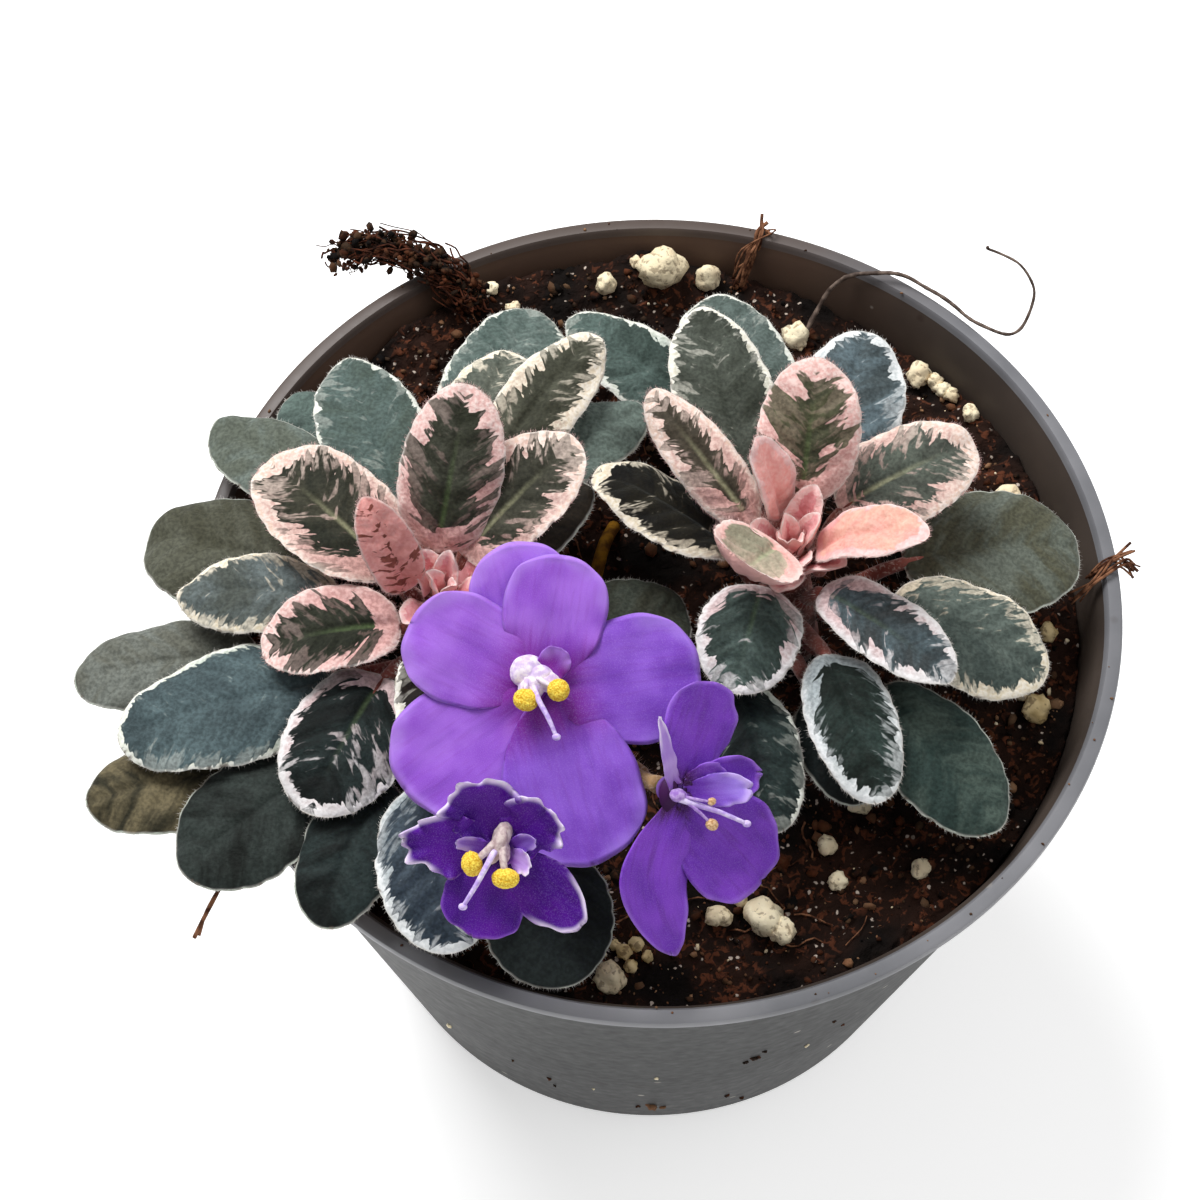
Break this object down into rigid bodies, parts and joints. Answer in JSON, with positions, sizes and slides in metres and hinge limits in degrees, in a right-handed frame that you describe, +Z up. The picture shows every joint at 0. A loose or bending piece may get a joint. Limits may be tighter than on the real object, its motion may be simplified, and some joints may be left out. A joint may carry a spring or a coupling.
{
  "type": "potted african violet",
  "caption": "Potted African violet: rosettes of fuzzy oval leaves edged cream and pink, with purple flowers, growing in a tapered grey plastic pot.",
  "frame": {"origin": "middle of the pot's flat foot, on the surface it stands on", "axes": "+Z up along the pot's axis; -Y towards the front, where the flowers lean; +X to the right"},
  "size_m": [0.1164, 0.105, 0.1023],
  "materials": {
    "pot_plastic": "matte dark grey moulded plastic",
    "potting_mix": "loose moist peat with perlite and bark crumbs",
    "stem_skin": "hairy reddish stem skin",
    "leaf_green": "velvety dark green leaf",
    "leaf_cream": "velvety green leaf with a cream white edge",
    "leaf_pink": "velvety green leaf with a pink edge",
    "leaf_young": "downy salmon pink young leaf",
    "petal": "soft satin violet petal",
    "anther": "dull yellow pollen",
    "fibre": "dry brown plant fibre"
  },
  "bodies": {
    "root": {"coir_tuft": "fibre", "flower_1_corolla": "petal", "flower_1_stalk": "stem_skin", "flower_1_stamens": "anther", "flower_2_corolla": "petal", "flower_2_stalk": "stem_skin", "flower_2_stamens": "anther", "flower_3_corolla": "petal", "flower_3_stalk": "stem_skin", "flower_3_stamens": "anther", "left_crown_stem": "stem_skin", "left_leaf_01": "leaf_green", "left_leaf_02": "leaf_green", "left_leaf_03": "leaf_green", "left_leaf_04": "leaf_green", "left_leaf_05": "leaf_green", "left_leaf_06": "leaf_green", "left_leaf_07": "leaf_green", "left_leaf_08": "leaf_green", "left_leaf_09": "leaf_green", "left_leaf_10": "leaf_green", "left_leaf_11": "leaf_green", "left_leaf_12": "leaf_green", "left_leaf_13": "leaf_cream", "left_leaf_14": "leaf_green", "left_leaf_15": "leaf_green", "left_leaf_16": "leaf_cream", "left_leaf_17": "leaf_cream", "left_leaf_18": "leaf_cream", "left_leaf_19": "leaf_cream", "left_leaf_20": "leaf_pink", "left_leaf_21": "leaf_pink", "left_leaf_22": "leaf_pink", "left_leaf_23": "leaf_cream", "left_leaf_24": "leaf_pink", "left_leaf_25": "leaf_young", "pot": "pot_plastic", "potting_mix": "potting_mix", "right_crown_stem": "stem_skin", "right_leaf_01": "leaf_green", "right_leaf_02": "leaf_green", "right_leaf_03": "leaf_green", "right_leaf_04": "leaf_green", "right_leaf_05": "leaf_green", "right_leaf_06": "leaf_green", "right_leaf_07": "leaf_cream", "right_leaf_08": "leaf_cream", "right_leaf_09": "leaf_cream", "right_leaf_10": "leaf_cream", "right_leaf_11": "leaf_cream", "right_leaf_12": "leaf_cream", "right_leaf_13": "leaf_pink", "right_leaf_14": "leaf_pink", "right_leaf_15": "leaf_pink", "right_leaf_16": "leaf_pink", "right_leaf_17": "leaf_young", "right_leaf_18": "leaf_young", "right_leaf_19": "leaf_young", "thread_root": "fibre"}
  },
  "joints": []
}
